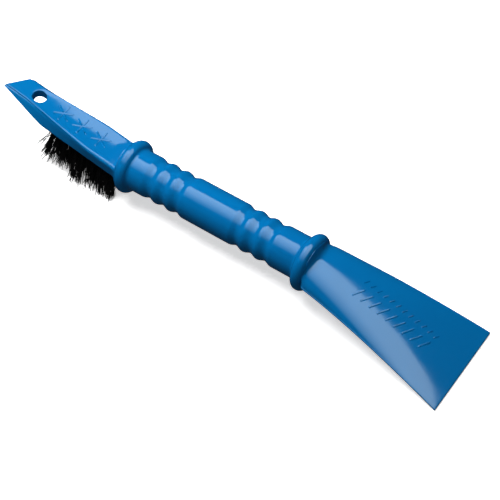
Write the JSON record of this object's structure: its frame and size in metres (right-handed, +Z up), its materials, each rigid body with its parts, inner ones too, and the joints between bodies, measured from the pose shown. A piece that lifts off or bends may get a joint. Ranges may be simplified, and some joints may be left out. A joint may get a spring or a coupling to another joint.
{
  "type": "windshield ice scraper",
  "caption": "One-piece plastic windshield ice scraper with a broad bevelled blade, a ribbed round grip between two guard rings, and a tufted brush head ending in an angled chisel tip.",
  "frame": {"origin": "on the surface that the tool lies on, under the middle of its length and width", "axes": "+X along the grip towards the blade, +Z up from the surface, the tufts pointing down"},
  "size_m": [0.3667, 0.07, 0.0553],
  "materials": {
    "moulded_plastic": "glossy moulded polypropylene",
    "filament": "black nylon filament",
    "anchor_steel": "flat steel wire"
  },
  "bodies": {
    "root": {"body": "moulded_plastic", "tuft_1_01": "filament", "tuft_1_02": "filament", "tuft_1_03": "filament", "tuft_1_04": "filament", "tuft_1_05": "filament", "tuft_1_06": "filament", "tuft_1_07": "filament", "tuft_1_08": "filament", "tuft_1_09": "filament", "tuft_1_10": "filament", "tuft_1_11": "filament", "tuft_2_01": "filament", "tuft_2_02": "filament", "tuft_2_03": "filament", "tuft_2_04": "filament", "tuft_2_05": "filament", "tuft_2_06": "filament", "tuft_2_07": "filament", "tuft_2_08": "filament", "tuft_2_09": "filament", "tuft_2_10": "filament", "tuft_2_11": "filament", "tuft_3_01": "filament", "tuft_3_02": "filament", "tuft_3_03": "filament", "tuft_3_04": "filament", "tuft_3_05": "filament", "tuft_3_06": "filament", "tuft_3_07": "filament", "tuft_3_08": "filament", "tuft_3_09": "filament", "tuft_3_10": "filament", "tuft_3_11": "filament", "tuft_4_01": "filament", "tuft_4_02": "filament", "tuft_4_03": "filament", "tuft_4_04": "filament", "tuft_4_05": "filament", "tuft_4_06": "filament", "tuft_4_07": "filament", "tuft_4_08": "filament", "tuft_4_09": "filament", "tuft_4_10": "filament", "tuft_4_11": "filament", "anchors_row_1": "anchor_steel", "anchors_row_2": "anchor_steel", "anchors_row_3": "anchor_steel", "anchors_row_4": "anchor_steel"}
  },
  "joints": []
}
